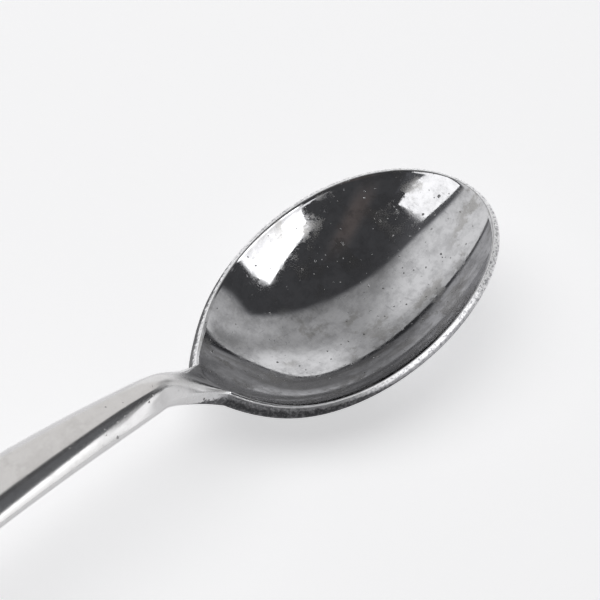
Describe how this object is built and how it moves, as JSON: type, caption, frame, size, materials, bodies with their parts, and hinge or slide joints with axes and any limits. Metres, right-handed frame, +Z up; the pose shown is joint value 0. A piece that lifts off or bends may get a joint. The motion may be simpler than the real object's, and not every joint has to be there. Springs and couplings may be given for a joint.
{
  "type": "teaspoon",
  "caption": "Polished steel teaspoon: oval hollowed bowl with a narrow ground rim, slim arched neck and a widening handle with a rounded end.",
  "frame": {"origin": "middle of the bounding box, on the table plane that the bowl and the handle end rest on", "axes": "+X runs from the handle end to the tip of the bowl, +Z is up out of the hollow, and Y = 0 is the plane of symmetry"},
  "size_m": [0.15, 0.0322, 0.0187],
  "materials": {
    "polished_steel": "polished stainless steel, mirror-like inside the hollow and worn to a soft shine on the handle, with fine scratches and small pits from use"
  },
  "bodies": {
    "root": {"bowl": "polished_steel", "neck": "polished_steel", "stem": "polished_steel", "handle_end": "polished_steel"}
  },
  "joints": []
}
